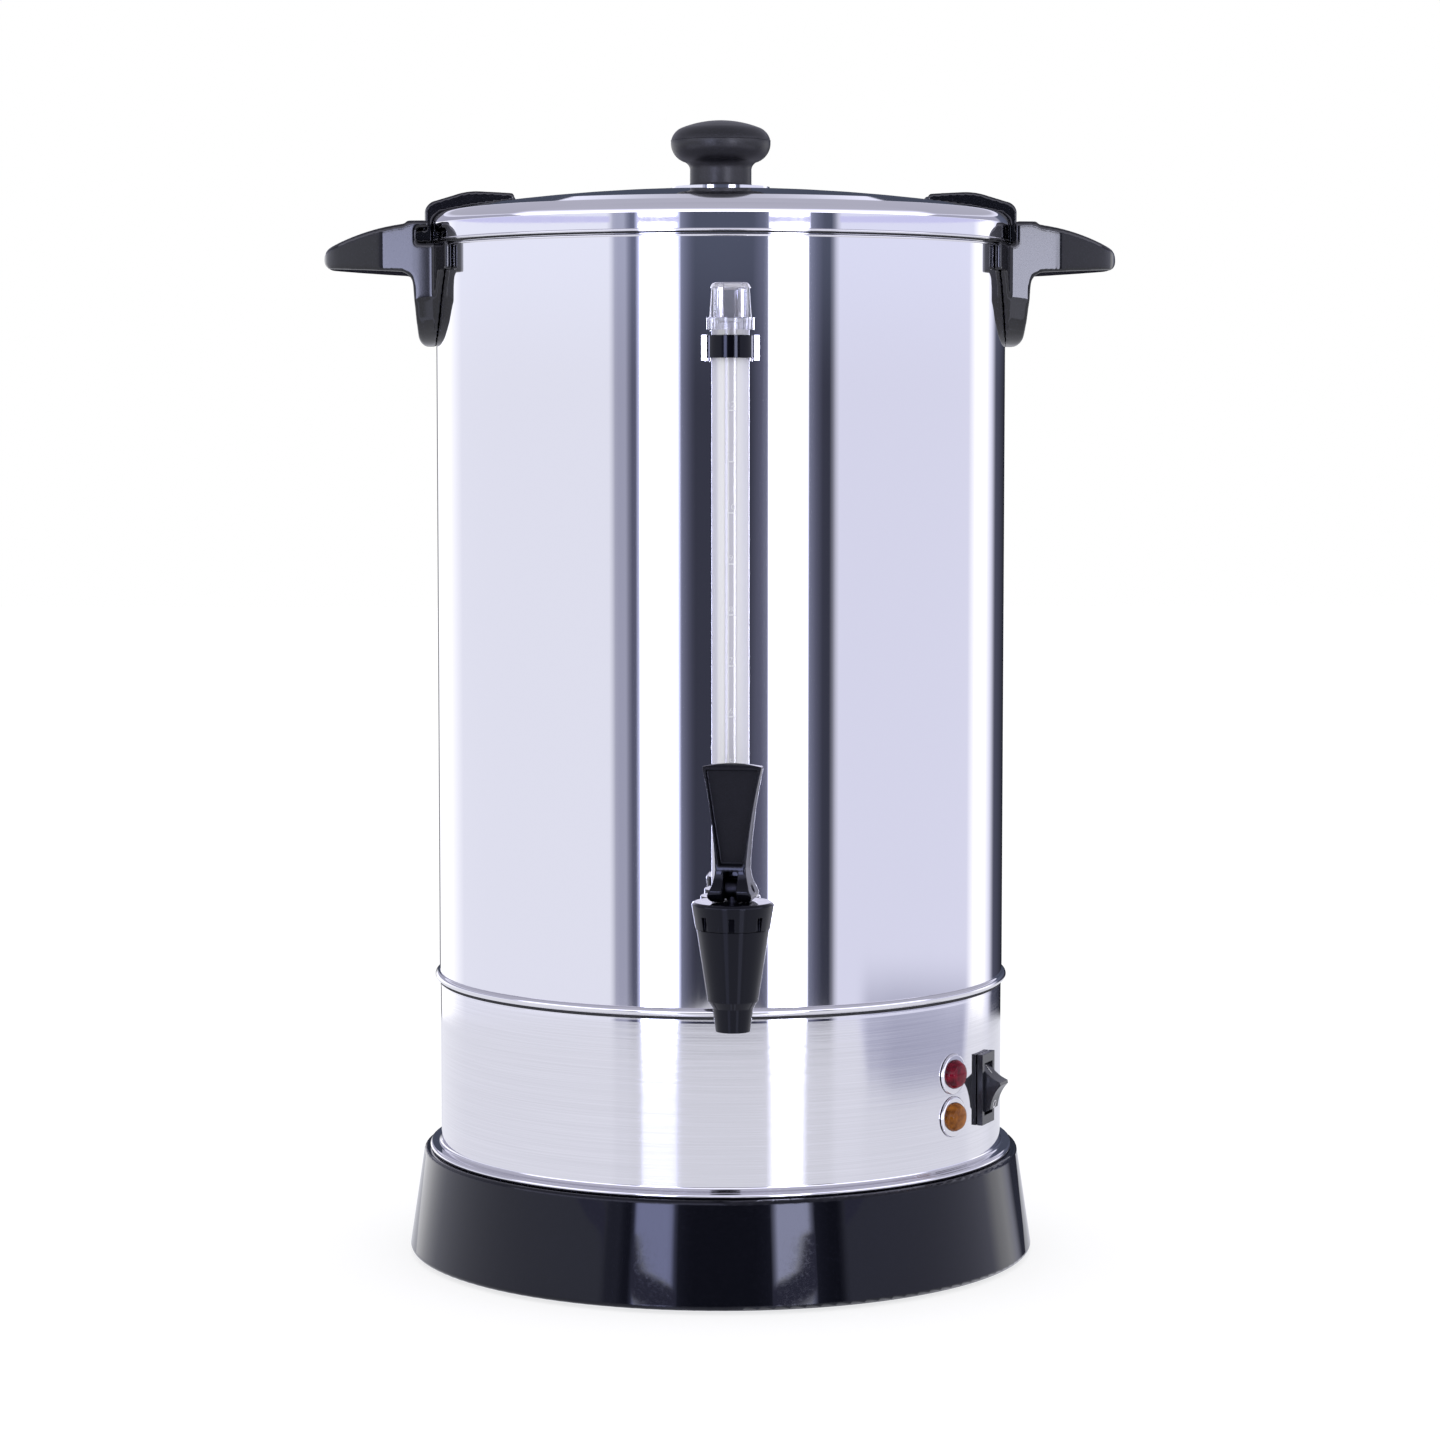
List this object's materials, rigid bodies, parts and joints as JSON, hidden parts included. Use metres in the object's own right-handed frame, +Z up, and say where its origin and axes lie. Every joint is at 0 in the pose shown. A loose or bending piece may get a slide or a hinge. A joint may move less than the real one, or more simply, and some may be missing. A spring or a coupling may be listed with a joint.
{
  "type": "hot water urn",
  "caption": "Stainless electric urn of fifteen litres with a bayonet lid, side handles, a sight gauge, a self-closing tap, pilot lamps and a rocker switch.",
  "frame": {"origin": "on the tank's upright axis, at the level of the table that the feet stand on", "axes": "+Z up along the tank's axis, -Y towards the tap, +X towards the right handle"},
  "size_m": [0.348, 0.3284, 0.4997],
  "materials": {
    "polished_steel": "mirror-polished stainless steel",
    "brushed_steel": "horizontally brushed stainless steel",
    "plain_steel": "plain zinc-plated steel",
    "black_plastic": "glossy black heat-resistant plastic",
    "black_rubber": "matt black rubber",
    "silicone": "pale silicone",
    "clear_plastic": "clear plastic",
    "red_lens": "glossy red lens",
    "amber_lens": "glossy amber lens",
    "aluminium": "cast aluminium",
    "element_steel": "dull oxidised steel sheath",
    "ceramic": "unglazed white block"
  },
  "bodies": {
    "urn": {"amber_lamp_bezel": "polished_steel", "amber_lamp_body": "black_plastic", "amber_lens": "amber_lens", "base_band": "brushed_steel", "base_plate": "plain_steel", "base_skirt": "black_plastic", "boil_thermostat": "plain_steel", "clip_screw": "plain_steel", "cord_gland": "black_rubber", "fitting_gasket": "black_rubber", "foot_screws": "plain_steel", "gauge_bush": "black_plastic", "gauge_clip": "polished_steel", "gauge_fitting": "black_plastic", "gauge_seal": "silicone", "gauge_tube": "clear_plastic", "handle_left": "black_plastic", "handle_right": "black_plastic", "handle_screws": "plain_steel", "heat_shield": "plain_steel", "heater_element": "element_steel", "heater_plate": "aluminium", "inner_gasket": "silicone", "keep_warm_element": "element_steel", "overheat_cutout": "plain_steel", "red_lamp_bezel": "polished_steel", "red_lamp_body": "black_plastic", "red_lens": "red_lens", "rubber_feet": "black_rubber", "shield_nut": "plain_steel", "switch_housing": "black_plastic", "tank_vessel": "polished_steel", "tap_body": "black_plastic", "tap_bonnet": "black_plastic", "tap_nut": "black_plastic", "tap_spring": "plain_steel", "terminal_block": "ceramic", "tie_nut": "plain_steel", "tie_rod": "plain_steel"},
    "tap_stem": {"tap_stem": "plain_steel", "tap_seat_cup": "silicone", "lever_pin": "plain_steel"},
    "tap_lever": {"tap_lever": "black_plastic"},
    "switch_rocker": {"switch_rocker": "black_plastic"},
    "gauge_cap_seal": {"gauge_cap_seal": "silicone"},
    "gauge_cap": {"gauge_cap": "clear_plastic"},
    "lid_seal": {"lid_seal": "silicone"},
    "lid": {"lid_shell": "polished_steel", "lid_knob": "black_plastic", "knob_screw": "plain_steel", "ear_left": "black_plastic", "ear_right": "black_plastic", "ear_screws": "plain_steel"}
  },
  "joints": [
    {"name": "lid_lift", "type": "slide", "parent": "urn", "child": "lid_seal", "axis": [0, 0, 1], "range_m": [0, 0.15]},
    {"name": "lid_turn", "type": "hinge", "parent": "lid_seal", "child": "lid", "pos_m": [0, 0, 0.45], "axis": [0, 0, 1], "range_deg": [0, 22]},
    {"name": "stem_lift", "type": "slide", "parent": "urn", "child": "tap_stem", "axis": [0, 0, 1], "range_m": [0, 0.0031], "deforming": ["tap_spring"]},
    {"name": "lever_tilt", "type": "hinge", "parent": "tap_stem", "child": "tap_lever", "pos_m": [0, -0.172, 0.1816], "axis": [0.9781, -0.2079, 0], "range_deg": [0, 35], "stiffness_Nm_per_rad": 0.05, "springref_deg": -34.38},
    {"name": "switch_rock", "type": "hinge", "parent": "urn", "child": "switch_rocker", "pos_m": [0.11056, -0.05297, 0.0799], "axis": [0.4321, 0.9018, 0], "range_deg": [0, 26]},
    {"name": "cap_lift", "type": "slide", "parent": "urn", "child": "gauge_cap_seal", "axis": [0, 0, 1], "range_m": [0, 0.003]},
    {"name": "cap_turn", "type": "hinge", "parent": "gauge_cap_seal", "child": "gauge_cap", "pos_m": [0, -0.1375, 0.408], "axis": [0, 0, 1], "range_deg": [0, 540]}
  ],
  "couplings": [
    {"joint": "stem_lift", "follows": "lever_tilt", "m_per_rad": 0.005},
    {"joint": "cap_lift", "follows": "cap_turn", "m_per_rad": 0.00031831}
  ]
}
